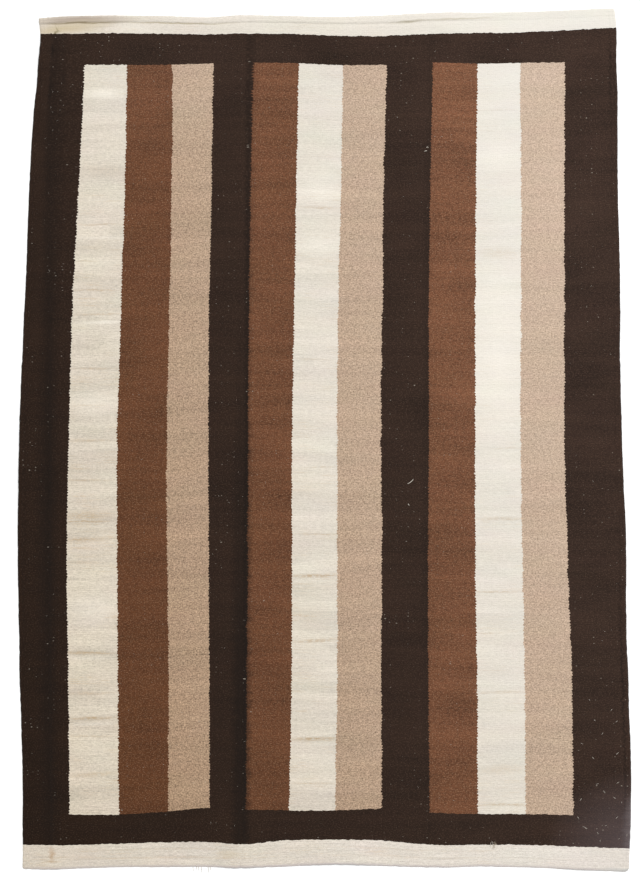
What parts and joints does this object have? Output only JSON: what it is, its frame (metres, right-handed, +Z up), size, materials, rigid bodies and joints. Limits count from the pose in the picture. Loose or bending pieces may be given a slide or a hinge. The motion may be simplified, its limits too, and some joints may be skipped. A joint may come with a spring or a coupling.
{
  "type": "flat-woven kilim",
  "caption": "Flat-woven wool kilim lying flat: dark brown ground, lengthwise cream, brown and beige stripes, plain cream end bands, a turned hem and corded selvedges.",
  "frame": {"origin": "on the floor under the middle of the rug's box", "axes": "+X across the rug, +Y along it towards the hemmed head end, +Z up from the floor, out of its face"},
  "size_m": [1.5325, 2.158, 0.0085],
  "materials": {
    "wool": "handspun undyed wool in a weft-faced plain weave, matt, slightly fuzzy, dark brown with cream, brown and beige stripes"
  },
  "bodies": {
    "root": {"kilim": "wool"}
  },
  "joints": []
}
